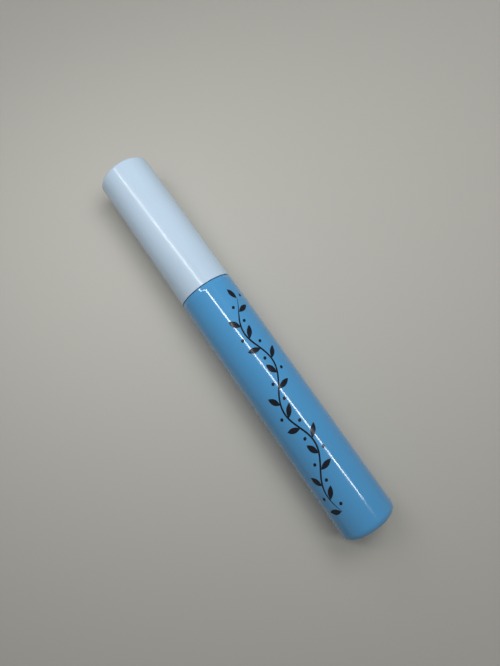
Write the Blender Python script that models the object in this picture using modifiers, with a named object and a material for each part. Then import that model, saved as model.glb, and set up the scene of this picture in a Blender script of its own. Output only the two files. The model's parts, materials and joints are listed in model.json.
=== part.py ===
"""Mascara tube, closed and lying on its side.

A moulded bottle with a threaded neck holds a pressed-in wiper. A screw cap, made of an outer shell and
a threaded inner cap, carries a gasket, a rod and a twisted-wire brush.

Units are metres. The tube lies along +X with its base at -X and its cap at +X, and it rests on z = 0.
Every piece is drawn upright, in stations along its axis from the base, and an empty lays it down.
"""

import math

import bmesh
import bpy
from mathutils import Matrix

# Fits and gaps between the pieces
FIT = 0.00015
JOINT_GAP = 0.0002
WIPE_GAP = 0.0002
THREAD_CLEARANCE = 0.00015

# Brush: a hairpin of wire, twisted on itself, with nylon strands pinched between its legs
WIRE_RADIUS = 0.00026
TWIST_PITCH = 0.0030
WIRE_POINTS_PER_TURN = 8
BEND_POINTS = 5
TIP_CLEARANCE = 0.0085
BARE_TIP = 0.0014
BARE_NECK = 0.0022
BRISTLE_LENGTH = 0.0250
STRAND_WIDTH = 0.00012
STRAND_THICKNESS = 0.00009
STRAND_CLEARANCE = 0.0001
ROW_GAP = 0.000067
STRAND_TIP_SHARE = 0.6
RIBBON_HALF_WIDTH = 0.00025
BRUSH_TIP_RADIUS = 0.0023
BRUSH_FULL_RADIUS = 0.0037
BRUSH_HEEL_RADIUS = 0.0030
BRUSH_FULLEST_AT = 0.62

# Rod
ROD_WALL = 0.00067
ROD_END_CHAMFER = 0.0004
WIRE_SOCKET_DEPTH = 0.0080
ROD_COLLAR_STEP = 0.0009
ROD_COLLAR_HEIGHT = 0.0008
ROD_BARB = 0.0002
ROD_BARB_HEIGHT = 0.0012

# Wiper
WIPER_CONE_STEP = 0.0014
WIPER_WALL = 0.0006
WIPER_LIP_WALL = 0.0004
WIPER_LIP_HEIGHT = 0.0006
WIPER_CONE_HEIGHT = 0.0035
WIPER_SLEEVE_HEIGHT = 0.0072
WIPER_FLANGE_HEIGHT = 0.0008
WIPER_MOUTH_CHAMFER = 0.0004

# Bottle
NECK_WALL = 0.00115
NECK_HEIGHT = 0.0120
NECK_CHAMFER = 0.0003
BODY_LENGTH = 0.0763
BODY_WALL = 0.0016
BASE_WALL = 0.0022
BASE_FILLET = 0.0020
BASE_RECESS_RADIUS = 0.0034
BASE_RECESS_DEPTH = 0.0004
CAVITY_FILLET = 0.0012
SHOULDER_WALL = 0.0018
SHOULDER_BAND_HEIGHT = 0.0012
SHOULDER_BAND_STEP = 0.0002

# Screw thread on the neck and in the inner cap
THREAD_PITCH = 0.0024
THREAD_TURNS = 1.5
THREAD_POINTS_PER_TURN = 24
THREAD_LEAD_IN_SHARE = 0.2
THREAD_END_SHARE = 0.3
NECK_THREAD_HEIGHT = 0.00055
CAP_THREAD_HEIGHT = 0.0003
NECK_THREAD_START = 0.0036
CAP_THREAD_START = 0.0024

# Gasket and inner cap
GASKET_HEIGHT = 0.0010
INNER_CAP_WALL = 0.0006
INNER_CAP_SETBACK = 0.0006
INNER_CAP_ROOF = 0.0012
BOSS_WALL = 0.0012
BOSS_HEIGHT = 0.0090
SPLINE_COUNT = 12
SPLINE_HEIGHT = 0.00015
SPLINE_WIDTH = 0.0008
SPLINE_ROOT = 0.0003
GUSSET_COUNT = 4
GUSSET_WIDTH = 0.0008
GUSSET_HEIGHT = 0.0050

# Outer cap
CAP_LENGTH = 0.0425
CAP_WALL = 0.00095
CAP_ROOF = 0.0015
CAP_DRAFT = 0.00018
CAP_TOP_FILLET = 0.0007
CAP_MOUTH_CHAMFER = 0.00015
CAP_REVEAL = 0.00015
STOP_RIB_COUNT = 6
STOP_RIB_DEPTH = 0.0012
STOP_RIB_WIDTH = 0.0008

# Facets
LARGE_SIDES = 48
SMALL_SIDES = 32
ARC_STEPS = 5
TUBE_RESOLUTION = 1
MERGE = 0.000001
OVERLAP = 0.0002
SHARP_ANGLE = math.radians(35)

# Radii, worked outwards from the brush wire to the bottle
LEG_OFFSET = WIRE_RADIUS + STRAND_CLEARANCE + STRAND_WIDTH / 2
WIRE_SOCKET_RADIUS = LEG_OFFSET + WIRE_RADIUS + FIT
ROD_RADIUS = WIRE_SOCKET_RADIUS + ROD_WALL
COLLAR_RADIUS = ROD_RADIUS + ROD_COLLAR_STEP
ORIFICE_RADIUS = ROD_RADIUS + WIPE_GAP
WIPER_BORE_RADIUS = ORIFICE_RADIUS + WIPER_CONE_STEP
WIPER_RADIUS = WIPER_BORE_RADIUS + WIPER_WALL
NECK_BORE_RADIUS = WIPER_RADIUS + FIT
NECK_RADIUS = NECK_BORE_RADIUS + NECK_WALL
NECK_THREAD_RADIUS = NECK_RADIUS + NECK_THREAD_HEIGHT
CAP_THREAD_RADIUS = NECK_THREAD_RADIUS + THREAD_CLEARANCE
INNER_BORE_RADIUS = CAP_THREAD_RADIUS + CAP_THREAD_HEIGHT
INNER_CAP_RADIUS = INNER_BORE_RADIUS + INNER_CAP_WALL
CAP_BORE_RADIUS = INNER_CAP_RADIUS + SPLINE_HEIGHT + FIT
CAP_MOUTH_RADIUS = CAP_BORE_RADIUS + CAP_WALL
CAP_TOP_RADIUS = CAP_MOUTH_RADIUS - CAP_DRAFT
BODY_RADIUS = CAP_MOUTH_RADIUS + CAP_REVEAL
CAVITY_RADIUS = BODY_RADIUS - BODY_WALL
SOCKET_RADIUS = ROD_RADIUS + ROD_BARB + FIT
BOSS_RADIUS = SOCKET_RADIUS + BOSS_WALL

# Stations along the axis, from the base, and the rows of strands
NECK_TOP = BODY_LENGTH + NECK_HEIGHT
FLANGE_BOTTOM = NECK_TOP + FIT
FLANGE_TOP = FLANGE_BOTTOM + WIPER_FLANGE_HEIGHT
GASKET_BOTTOM = FLANGE_TOP + FIT
CEILING = GASKET_BOTTOM + GASKET_HEIGHT + FIT
INNER_CAP_TOP = CEILING + INNER_CAP_ROOF
BOSS_TOP = INNER_CAP_TOP + BOSS_HEIGHT
SOCKET_TOP = BOSS_TOP - BOSS_WALL
CAP_MOUTH = BODY_LENGTH + JOINT_GAP
CAP_TOP = CAP_MOUTH + CAP_LENGTH
CAP_INSIDE_TOP = CAP_TOP - CAP_ROOF
INNER_CAP_MOUTH = CAP_MOUTH + INNER_CAP_SETBACK
WIRE_TIP = BASE_WALL + TIP_CLEARANCE
BRISTLE_START = WIRE_TIP + BARE_TIP
ROD_END = BRISTLE_START + BRISTLE_LENGTH + BARE_NECK
WIRE_TOP = ROD_END + WIRE_SOCKET_DEPTH
ROW_STEP = STRAND_THICKNESS + ROW_GAP
BRISTLE_ROWS = int((BRISTLE_LENGTH - STRAND_THICKNESS) / ROW_STEP) + 1

# The tube lies on a flat of its many-sided body, so its axis is a little lower than the body's radius
HALF_FACET = math.pi / LARGE_SIDES
AXIS_HEIGHT = BODY_RADIUS * math.cos(HALF_FACET)


def clear_scene():
    for obj in list(bpy.data.objects):
        bpy.data.objects.remove(obj)


def new_collection(name):
    collection = bpy.data.collections.new(name)
    bpy.context.scene.collection.children.link(collection)
    return collection


def plain_material(name, colour, roughness, metallic=0.0):
    """A Principled material in one colour."""
    material = bpy.data.materials.new(name)
    material.use_nodes = True
    material.diffuse_color = (*colour, 1.0)
    shader = material.node_tree.nodes["Principled BSDF"]
    shader.inputs["Base Color"].default_value = (*colour, 1.0)
    shader.inputs["Roughness"].default_value = roughness
    shader.inputs["Metallic"].default_value = metallic
    return material


def arc(centre_radius, centre_height, radius, start, end):
    """Points of a profile round a quarter circle, from one angle in degrees to another."""
    angles = [math.radians(start + (end - start) * step / ARC_STEPS) for step in range(ARC_STEPS + 1)]
    return [(centre_radius + radius * math.cos(a), centre_height + radius * math.sin(a)) for a in angles]


def turned(name, profile, sides, ring=False):
    """A profile of (radius, height) points, run down its outer side, turned round the axis."""
    edges = [(i, i + 1) for i in range(len(profile) - 1)]
    if ring:
        edges.append((len(profile) - 1, 0))
    mesh = bpy.data.meshes.new(name)
    mesh.from_pydata([(radius, 0.0, height) for radius, height in profile], edges, [])
    obj = bpy.data.objects.new(name, mesh)
    PARTS.objects.link(obj)
    screw = obj.modifiers.new("turn", "SCREW")
    screw.axis = "Z"
    screw.angle = 2 * math.pi
    screw.steps = sides
    screw.render_steps = sides
    screw.use_merge_vertices = True
    screw.merge_threshold = MERGE
    return obj


def as_cutter(obj):
    """Marks an object as a helper that only shapes other pieces."""
    obj.hide_render = True
    obj.display_type = "WIRE"
    return obj


def joined(obj, helper):
    """Fuses a helper's shape to a piece."""
    union = obj.modifiers.new("join " + helper.name, "BOOLEAN")
    union.operation = "UNION"
    union.solver = "EXACT"
    union.object = helper
    return obj


def tube_mesh(name, points, tapers, radius, twist, collection):
    """A closed mesh tube along the points, each with its own share of the radius."""
    curve = bpy.data.curves.new(name, "CURVE")
    curve.dimensions = "3D"
    curve.twist_mode = twist
    curve.bevel_depth = radius
    curve.bevel_resolution = TUBE_RESOLUTION
    curve.use_fill_caps = True
    spline = curve.splines.new("POLY")
    spline.points.add(len(points) - 1)
    for point, place, share in zip(spline.points, points, tapers):
        point.co = (*place, 1.0)
        point.radius = share
    source = bpy.data.objects.new(name + "_path", curve)
    collection.objects.link(source)
    graph = bpy.context.evaluated_depsgraph_get()
    mesh = bpy.data.meshes.new_from_object(source.evaluated_get(graph))
    mesh.name = name
    bpy.data.objects.remove(source)
    weld = bmesh.new()
    weld.from_mesh(mesh)
    bmesh.ops.remove_doubles(weld, verts=weld.verts, dist=MERGE)
    bmesh.ops.recalc_face_normals(weld, faces=weld.faces)
    weld.to_mesh(mesh)
    weld.free()
    obj = bpy.data.objects.new(name, mesh)
    collection.objects.link(obj)
    return obj


def thread_ridge(name, radius, start, height):
    """A screw thread as a round ridge, half sunk in the wall, that fades out at both ends."""
    count = round(THREAD_TURNS * THREAD_POINTS_PER_TURN) + 1
    points = []
    tapers = []
    for step in range(count):
        share = step / (count - 1)
        angle = 2 * math.pi * THREAD_TURNS * share
        rise = start + THREAD_PITCH * THREAD_TURNS * share
        points.append((radius * math.cos(angle), radius * math.sin(angle), rise))
        near_end = min(share, 1 - share) / THREAD_LEAD_IN_SHARE
        tapers.append(min(1.0, THREAD_END_SHARE + (1 - THREAD_END_SHARE) * near_end))
    return as_cutter(tube_mesh(name, points, tapers, height, "Z_UP", HELPERS))


def bars_around(name, count, inner, outer, width, bottom, top):
    """Upright bars spaced round the axis, each from an inner to an outer radius."""
    bars = bmesh.new()
    for index in range(count):
        made = bmesh.ops.create_cube(bars, size=1.0)["verts"]
        bmesh.ops.scale(bars, vec=(outer - inner, width, top - bottom), verts=made)
        bmesh.ops.translate(bars, vec=((outer + inner) / 2, 0.0, (top + bottom) / 2), verts=made)
        turn = Matrix.Rotation(2 * math.pi * index / count, 3, "Z")
        bmesh.ops.rotate(bars, cent=(0.0, 0.0, 0.0), matrix=turn, verts=made)
    mesh = bpy.data.meshes.new(name)
    bars.to_mesh(mesh)
    bars.free()
    obj = bpy.data.objects.new(name, mesh)
    HELPERS.objects.link(obj)
    return as_cutter(obj)


def make_bottle():
    """The bottle: recessed base, straight wall, a sloped band at the shoulder and a threaded neck, hollow."""
    cone_drop = CAVITY_RADIUS - NECK_BORE_RADIUS
    cavity_top = BODY_LENGTH - SHOULDER_WALL
    outside = [
        (NECK_RADIUS - NECK_CHAMFER, NECK_TOP),
        (NECK_RADIUS, NECK_TOP - NECK_CHAMFER),
        (NECK_RADIUS, BODY_LENGTH),
        (BODY_RADIUS - SHOULDER_BAND_STEP, BODY_LENGTH),
        (BODY_RADIUS, BODY_LENGTH - SHOULDER_BAND_HEIGHT),
        *arc(BODY_RADIUS - BASE_FILLET, BASE_FILLET, BASE_FILLET, 0, -90),
        (BASE_RECESS_RADIUS, 0.0),
        (BASE_RECESS_RADIUS, BASE_RECESS_DEPTH),
        (0.0, BASE_RECESS_DEPTH),
    ]
    inside = [
        (0.0, BASE_WALL),
        *arc(CAVITY_RADIUS - CAVITY_FILLET, BASE_WALL + CAVITY_FILLET, CAVITY_FILLET, -90, 0),
        (CAVITY_RADIUS, cavity_top - cone_drop),
        (NECK_BORE_RADIUS, cavity_top),
        (NECK_BORE_RADIUS, NECK_TOP),
    ]
    bottle = turned("bottle", inside + outside, LARGE_SIDES)
    thread = thread_ridge("neck_thread", NECK_RADIUS, BODY_LENGTH + NECK_THREAD_START, NECK_THREAD_HEIGHT)
    return joined(bottle, thread)


def make_wiper():
    """The wiper: a flanged sleeve that ends in a cone, whose lip strips the rod."""
    sleeve_bottom = FLANGE_BOTTOM - WIPER_SLEEVE_HEIGHT
    cone_bottom = sleeve_bottom - WIPER_CONE_HEIGHT
    lip_bottom = cone_bottom - WIPER_LIP_HEIGHT
    lip_radius = ORIFICE_RADIUS + WIPER_LIP_WALL
    profile = [
        (WIPER_BORE_RADIUS + WIPER_MOUTH_CHAMFER, FLANGE_TOP),
        (NECK_RADIUS - NECK_CHAMFER, FLANGE_TOP),
        (NECK_RADIUS - NECK_CHAMFER, FLANGE_BOTTOM),
        (WIPER_RADIUS, FLANGE_BOTTOM),
        (WIPER_RADIUS, sleeve_bottom),
        (lip_radius, cone_bottom),
        (lip_radius, lip_bottom),
        (ORIFICE_RADIUS, lip_bottom),
        (ORIFICE_RADIUS, cone_bottom),
        (WIPER_BORE_RADIUS, sleeve_bottom),
        (WIPER_BORE_RADIUS, FLANGE_TOP - WIPER_MOUTH_CHAMFER),
    ]
    return turned("wiper", profile, SMALL_SIDES, ring=True)


def make_gasket():
    """The gasket: a soft washer under the inner cap's ceiling, which seals on the wiper's flange."""
    inner = COLLAR_RADIUS + FIT
    outer = CAP_THREAD_RADIUS - FIT
    profile = [
        (inner, GASKET_BOTTOM + GASKET_HEIGHT),
        (outer, GASKET_BOTTOM + GASKET_HEIGHT),
        (outer, GASKET_BOTTOM),
        (inner, GASKET_BOTTOM),
    ]
    return turned("gasket", profile, SMALL_SIDES, ring=True)


def make_inner_cap():
    """The inner cap: a splined, threaded skirt, a ceiling and a boss with the rod's socket."""
    profile = [
        (0.0, BOSS_TOP),
        (BOSS_RADIUS, BOSS_TOP),
        (BOSS_RADIUS, INNER_CAP_TOP),
        (INNER_CAP_RADIUS, INNER_CAP_TOP),
        (INNER_CAP_RADIUS, INNER_CAP_MOUTH),
        (INNER_BORE_RADIUS, INNER_CAP_MOUTH),
        (INNER_BORE_RADIUS, CEILING),
        (SOCKET_RADIUS, CEILING),
        (SOCKET_RADIUS, SOCKET_TOP),
        (0.0, SOCKET_TOP),
    ]
    inner_cap = turned("inner_cap", profile, LARGE_SIDES)
    thread = thread_ridge("cap_thread", INNER_BORE_RADIUS, CAP_MOUTH + CAP_THREAD_START, CAP_THREAD_HEIGHT)
    splines = bars_around(
        "inner_cap_splines",
        SPLINE_COUNT,
        INNER_CAP_RADIUS - SPLINE_ROOT,
        INNER_CAP_RADIUS + SPLINE_HEIGHT,
        SPLINE_WIDTH,
        INNER_CAP_MOUTH + INNER_CAP_SETBACK,
        INNER_CAP_TOP - INNER_CAP_ROOF / 2,
    )
    gussets = bars_around(
        "inner_cap_gussets",
        GUSSET_COUNT,
        BOSS_RADIUS - BOSS_WALL / 2,
        CAP_BORE_RADIUS - STOP_RIB_DEPTH - FIT,
        GUSSET_WIDTH,
        INNER_CAP_TOP - INNER_CAP_ROOF / 2,
        INNER_CAP_TOP + GUSSET_HEIGHT,
    )
    for helper in (thread, splines, gussets):
        joined(inner_cap, helper)
    return inner_cap


def make_rod():
    """The rod: a barbed head in the inner cap, a collar under its ceiling and a bored end for the wire."""
    collar_top = CEILING - FIT
    head_top = SOCKET_TOP - FIT
    barb_middle = (collar_top + head_top) / 2
    barb_radius = ROD_RADIUS + ROD_BARB
    profile = [
        (0.0, head_top),
        (ROD_RADIUS - ROD_END_CHAMFER, head_top),
        (ROD_RADIUS, head_top - ROD_END_CHAMFER),
        (ROD_RADIUS, barb_middle + ROD_BARB_HEIGHT),
        (barb_radius, barb_middle),
        (ROD_RADIUS, barb_middle - ROD_BARB),
        (ROD_RADIUS, collar_top),
        (COLLAR_RADIUS, collar_top),
        (COLLAR_RADIUS, collar_top - ROD_COLLAR_HEIGHT),
        (ROD_RADIUS, collar_top - ROD_COLLAR_HEIGHT),
        (ROD_RADIUS, ROD_END + ROD_END_CHAMFER),
        (ROD_RADIUS - ROD_END_CHAMFER, ROD_END),
        (WIRE_SOCKET_RADIUS, ROD_END),
        (WIRE_SOCKET_RADIUS, WIRE_TOP + FIT),
        (0.0, WIRE_TOP + FIT),
    ]
    return turned("rod", profile, SMALL_SIDES)


def twist_angle(height):
    """Where the strands point at a height of the twisted brush. The wire's legs lie square to it."""
    return 2 * math.pi * (height - BRISTLE_START) / TWIST_PITCH


def leg_point(height, side):
    """A point on one leg of the twisted wire."""
    angle = twist_angle(height) + side * math.pi / 2
    return (LEG_OFFSET * math.cos(angle), LEG_OFFSET * math.sin(angle), height)


def make_brush_wire():
    """The brush wire: one hairpin, twisted from its round bend at the tip up into the rod."""
    bend_centre = WIRE_TIP + WIRE_RADIUS + LEG_OFFSET
    turns = (WIRE_TOP - bend_centre) / TWIST_PITCH
    count = max(2, round(turns * WIRE_POINTS_PER_TURN))
    heights = [bend_centre + (WIRE_TOP - bend_centre) * step / count for step in range(count + 1)]
    down = [leg_point(height, 1) for height in reversed(heights)]
    up = [leg_point(height, -1) for height in heights]
    bend = []
    across = twist_angle(bend_centre) + math.pi / 2
    for step in range(1, BEND_POINTS + 1):
        swing = math.pi * step / (BEND_POINTS + 1)
        reach = LEG_OFFSET * math.cos(swing)
        dip = LEG_OFFSET * math.sin(swing)
        bend.append((reach * math.cos(across), reach * math.sin(across), bend_centre - dip))
    path = down + bend + up
    return tube_mesh("brush_wire", path, [1.0] * len(path), WIRE_RADIUS, "MINIMUM", PARTS)


def brush_radius(share):
    """How far the strands reach, at a share of the brush's length: a slim cone with a rounded heel."""
    if share < BRUSH_FULLEST_AT:
        grown = math.sin(math.pi / 2 * share / BRUSH_FULLEST_AT)
        return BRUSH_TIP_RADIUS + (BRUSH_FULL_RADIUS - BRUSH_TIP_RADIUS) * grown
    past = (share - BRUSH_FULLEST_AT) / (1 - BRUSH_FULLEST_AT)
    return BRUSH_FULL_RADIUS + (BRUSH_HEEL_RADIUS - BRUSH_FULL_RADIUS) * past * past


def make_bristles():
    """The strands: a twisted comb with teeth on both edges, whose back lies between the wire's legs."""
    comb = bmesh.new()
    cells = 2 * BRISTLE_ROWS - 1
    bmesh.ops.create_grid(comb, x_segments=1, y_segments=cells, size=1.0)
    for vertex in comb.verts:
        edge = round((vertex.co.y + 1) / 2 * cells)
        height = BRISTLE_START + (edge // 2) * ROW_STEP + (edge % 2) * STRAND_THICKNESS
        side = math.copysign(RIBBON_HALF_WIDTH, vertex.co.x)
        vertex.co = (side, -STRAND_WIDTH / 2, height)
    extruded = bmesh.ops.extrude_face_region(comb, geom=comb.faces[:])["geom"]
    front = [item for item in extruded if isinstance(item, bmesh.types.BMVert)]
    bmesh.ops.translate(comb, vec=(0.0, STRAND_WIDTH, 0.0), verts=front)
    bmesh.ops.recalc_face_normals(comb, faces=comb.faces)

    def row_of(height):
        return int((height - BRISTLE_START + STRAND_THICKNESS / 2) / ROW_STEP)

    def row_middle(row):
        return BRISTLE_START + row * ROW_STEP + STRAND_THICKNESS / 2

    roots = []
    for face in comb.faces:
        middle = face.calc_center_median()
        on_strand = abs(middle.z - row_middle(row_of(middle.z))) < STRAND_THICKNESS / 4
        if abs(face.normal.x) > 0.5 and on_strand:
            roots.append(face)
    tips = bmesh.ops.extrude_discrete_faces(comb, faces=roots)["faces"]
    for face in tips:
        row = row_of(face.calc_center_median().z)
        reach = brush_radius(row / (BRISTLE_ROWS - 1))
        for vertex in face.verts:
            drop = (vertex.co.z - row_middle(row)) * STRAND_TIP_SHARE
            vertex.co.x = math.copysign(reach, vertex.co.x)
            vertex.co.y *= STRAND_TIP_SHARE
            vertex.co.z = row_middle(row) + drop
    for vertex in comb.verts:
        turn = Matrix.Rotation(twist_angle(row_middle(row_of(vertex.co.z))), 3, "Z")
        vertex.co = turn @ vertex.co
    mesh = bpy.data.meshes.new("bristles")
    comb.to_mesh(mesh)
    comb.free()
    obj = bpy.data.objects.new("bristles", mesh)
    PARTS.objects.link(obj)
    return obj


def make_outer_cap():
    """The outer cap: a slightly drafted shell, with ribs inside that the inner cap stops against."""
    profile = [
        (0.0, CAP_TOP),
        *arc(CAP_TOP_RADIUS - CAP_TOP_FILLET, CAP_TOP - CAP_TOP_FILLET, CAP_TOP_FILLET, 90, 0),
        (CAP_MOUTH_RADIUS, CAP_MOUTH + CAP_MOUTH_CHAMFER),
        (CAP_MOUTH_RADIUS - CAP_MOUTH_CHAMFER, CAP_MOUTH),
        (CAP_BORE_RADIUS, CAP_MOUTH),
        (CAP_BORE_RADIUS, CAP_INSIDE_TOP),
        (0.0, CAP_INSIDE_TOP),
    ]
    outer_cap = turned("outer_cap", profile, LARGE_SIDES)
    ribs = bars_around(
        "outer_cap_ribs",
        STOP_RIB_COUNT,
        CAP_BORE_RADIUS - STOP_RIB_DEPTH,
        CAP_BORE_RADIUS + OVERLAP,
        STOP_RIB_WIDTH,
        INNER_CAP_TOP + FIT,
        CAP_INSIDE_TOP + OVERLAP,
    )
    return joined(outer_cap, ribs)


def finish(obj, material, parent):
    """Bakes a piece's modifiers, shades it smooth with sharp edges, and hangs it on its empty."""
    graph = bpy.context.evaluated_depsgraph_get()
    mesh = bpy.data.meshes.new_from_object(obj.evaluated_get(graph))
    obj.modifiers.clear()
    obj.data = mesh
    mesh.shade_smooth()
    mesh.set_sharp_from_angle(angle=SHARP_ANGLE)
    mesh.materials.clear()
    mesh.materials.append(material)
    obj.parent = parent


def new_axis(name, parent=None):
    axis = bpy.data.objects.new(name, None)
    axis.empty_display_type = "ARROWS"
    axis.empty_display_size = BODY_RADIUS
    PARTS.objects.link(axis)
    axis.parent = parent
    return axis


clear_scene()
PARTS = new_collection("mascara_tube")
HELPERS = new_collection("helpers")

tube_axis = new_axis("tube_axis")
cap_axis = new_axis("cap_axis", tube_axis)
lay_down = Matrix.Rotation(math.pi / 2, 4, "Y") @ Matrix.Rotation(HALF_FACET, 4, "Z")
tube_axis.matrix_world = Matrix.Translation((-CAP_TOP / 2, 0.0, AXIS_HEIGHT)) @ lay_down

BLUE = plain_material("blue_gloss_plastic", (0.055, 0.295, 0.59), 0.18)
WHITE = plain_material("white_gloss_plastic", (0.50, 0.64, 0.78), 0.22)
NATURAL = plain_material("natural_plastic", (0.78, 0.79, 0.77), 0.45)
CLEAR_SOFT = plain_material("soft_wiper_plastic", (0.70, 0.73, 0.74), 0.40)
FOAM = plain_material("gasket_foam", (0.85, 0.85, 0.82), 0.85)
ROD_WHITE = plain_material("white_rod_plastic", (0.80, 0.82, 0.83), 0.25)
STEEL = plain_material("steel_wire", (0.55, 0.55, 0.56), 0.30, 1.0)
NYLON = plain_material("black_nylon", (0.02, 0.02, 0.022), 0.45)

finish(make_bottle(), BLUE, tube_axis)
finish(make_wiper(), CLEAR_SOFT, tube_axis)
finish(make_outer_cap(), WHITE, cap_axis)
finish(make_inner_cap(), NATURAL, cap_axis)
finish(make_gasket(), FOAM, cap_axis)
finish(make_rod(), ROD_WHITE, cap_axis)
finish(make_brush_wire(), STEEL, cap_axis)
finish(make_bristles(), NYLON, cap_axis)

print(f"tube {CAP_TOP * 1000:.1f} mm long, {2 * BODY_RADIUS * 1000:.2f} mm across")
print(f"brush of {2 * BRISTLE_ROWS} strands")
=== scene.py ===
# %% [markdown]
# # A mascara tube, finished piece by piece
# The tube lies closed on a table: a glossy blue bottle and an ice-white screw cap. The soft wiper, the foam
# gasket, the rod and the twisted-wire brush are inside, and show when the cap is pulled off.
#
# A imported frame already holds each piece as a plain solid, at its real size and place. This lesson makes a
# smoother piece for each of those solids, gives it a finish, and lets it ride on the same moving body.

# %% Load the frame
import json
import math
from functools import partialmethod

import bmesh
import bpy
from mathutils import Matrix, Vector


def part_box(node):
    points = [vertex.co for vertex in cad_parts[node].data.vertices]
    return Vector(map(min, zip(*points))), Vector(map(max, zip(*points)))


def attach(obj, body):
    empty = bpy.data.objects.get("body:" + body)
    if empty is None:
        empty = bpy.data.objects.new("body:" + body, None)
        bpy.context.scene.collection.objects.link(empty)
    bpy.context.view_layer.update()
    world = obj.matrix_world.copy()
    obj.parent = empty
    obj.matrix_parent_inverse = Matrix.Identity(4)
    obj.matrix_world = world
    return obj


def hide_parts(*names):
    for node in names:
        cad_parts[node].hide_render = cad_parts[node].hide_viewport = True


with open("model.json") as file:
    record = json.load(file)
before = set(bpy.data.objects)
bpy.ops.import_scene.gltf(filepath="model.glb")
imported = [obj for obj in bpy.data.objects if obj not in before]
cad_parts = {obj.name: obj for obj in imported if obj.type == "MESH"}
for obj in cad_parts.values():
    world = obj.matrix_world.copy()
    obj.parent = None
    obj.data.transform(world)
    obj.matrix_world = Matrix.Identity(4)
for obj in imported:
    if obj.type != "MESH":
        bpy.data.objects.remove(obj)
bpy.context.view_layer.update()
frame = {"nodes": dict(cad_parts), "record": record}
scene = bpy.context.scene
scene.view_settings.view_transform = "Standard"
print("frame holds", ", ".join(sorted(frame["nodes"])))

# %% [markdown]
# ## Where things are
# Every piece but the brush is turned about one axis, so two numbers place a ring of its points: a radius,
# and a station, which is the distance along the axis from the bottle's base. The pieces are drawn upright
# in those numbers and laid down at the end by one matrix. The stations could be typed in again, but they are
# read from the frame, so nothing can drift from the solids.

# %% Read the stations and the colours
bottle_low, bottle_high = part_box("bottle")
BASE_X = bottle_low.x
AXIS_HEIGHT = (bottle_low.z + bottle_high.z) / 2
LAY_DOWN = Matrix.Translation((BASE_X, 0.0, AXIS_HEIGHT)) @ Matrix.Rotation(math.pi / 2, 4, "Y")
COLOURS = {entry["slot"]: tuple(entry["base_color"]) for entry in frame["record"]["materials"]}


def stations(node):
    """A node's first and last station, from the bottle's base."""
    low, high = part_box(node)
    return low.x - BASE_X, high.x - BASE_X


def radius_of(node):
    """Half of a node's width, which is the radius that its flats stand at."""
    low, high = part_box(node)
    return (high.y - low.y) / 2


for node in sorted(frame["nodes"]):
    first, last = stations(node)
    print(f"{node}: {first * 1000:.2f} to {last * 1000:.2f} mm, radius {radius_of(node) * 1000:.2f} mm")

# %% [markdown]
# ## The camera
# The photograph looks almost straight down on the tube, from close by. A camera could be nudged by eye
# until it matches. It is worked out here instead: the lens is given in pixels, and the camera stands back
# from the joint between cap and bottle, along the ray that goes through that joint's pixel.

# %% Set the camera
PHOTO_WIDTH = 500
PHOTO_HEIGHT = 666
FOCAL_PIXELS = 500.0
SENSOR = 36.0
VIEW_AZIMUTH = math.radians(235.0)
VIEW_ELEVATION = math.radians(80.75)
JOINT_PIXEL = (206.3, 291.0)
JOINT_DEPTH = 0.1408
NEAREST = 0.005


def new_object(name, data=None):
    """An object in the scene, at the origin. Without other data it gets an empty mesh."""
    obj = bpy.data.objects.new(name, data or bpy.data.meshes.new(name))
    scene.collection.objects.link(obj)
    return obj


level = Vector((-math.sin(VIEW_AZIMUTH), math.cos(VIEW_AZIMUTH), 0.0))
right = Vector((math.cos(VIEW_AZIMUTH), math.sin(VIEW_AZIMUTH), 0.0))
above = Vector((0.0, 0.0, 1.0))
ahead = level * math.cos(VIEW_ELEVATION) - above * math.sin(VIEW_ELEVATION)
upward = level * math.sin(VIEW_ELEVATION) + above * math.cos(VIEW_ELEVATION)
joint = Vector((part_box("outer_cap")[0].x, 0.0, AXIS_HEIGHT))
to_right = (JOINT_PIXEL[0] - PHOTO_WIDTH / 2) / FOCAL_PIXELS
to_top = (PHOTO_HEIGHT / 2 - JOINT_PIXEL[1]) / FOCAL_PIXELS

camera = new_object("camera", bpy.data.cameras.new("camera"))
camera.data.sensor_width = SENSOR
camera.data.lens = SENSOR * FOCAL_PIXELS / PHOTO_HEIGHT
camera.data.clip_start = NEAREST
turn = Matrix((right, upward, -ahead)).transposed()
stand = joint - (ahead + right * to_right + upward * to_top) * JOINT_DEPTH
camera.matrix_world = Matrix.Translation(stand) @ turn.to_4x4()
scene.camera = camera
print("camera stands", [round(c * 1000, 1) for c in stand], "mm")

# %% [markdown]
# ## Wiring nodes in a script
# Geometry and shader trees are both made here. Nodes could be wired one socket at a time, which takes many
# lines and hides the formula. So a small class stands for a wire, which is the result of a node: a sum or a
# product of wires adds the math node that works it out, and a formula reads as a formula. A few helpers add
# the other nodes, and open, close and run a whole tree.

# %% Wires and nodes
FULL_TURN = 2 * math.pi


class Wire:
    """The result of a node. Sums and products of wires add the math nodes that work them out."""

    def __init__(self, tree, socket):
        self.tree = tree
        self.socket = socket

    def maths(self, operation, *values):
        """The result of one math node that takes this wire first."""
        return made(self.tree, "ShaderNodeMath", dict(enumerate((self, *values))), operation=operation)

    def __rsub__(self, value):
        return made(self.tree, "ShaderNodeMath", {0: value, 1: self}, operation="SUBTRACT")

    __add__ = partialmethod(maths, "ADD")
    __sub__ = partialmethod(maths, "SUBTRACT")
    __mul__ = partialmethod(maths, "MULTIPLY")
    __truediv__ = partialmethod(maths, "DIVIDE")


def fill(tree, node, inputs):
    """Fills a node's inputs, by name or by place, with plain values or with wires."""
    for key, value in inputs.items():
        shown = [socket for socket in node.inputs if socket.enabled]
        socket = shown[key] if isinstance(key, int) else next(s for s in shown if s.name == key)
        if isinstance(value, Wire):
            tree.links.new(value.socket, socket)
        else:
            socket.default_value = value


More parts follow.
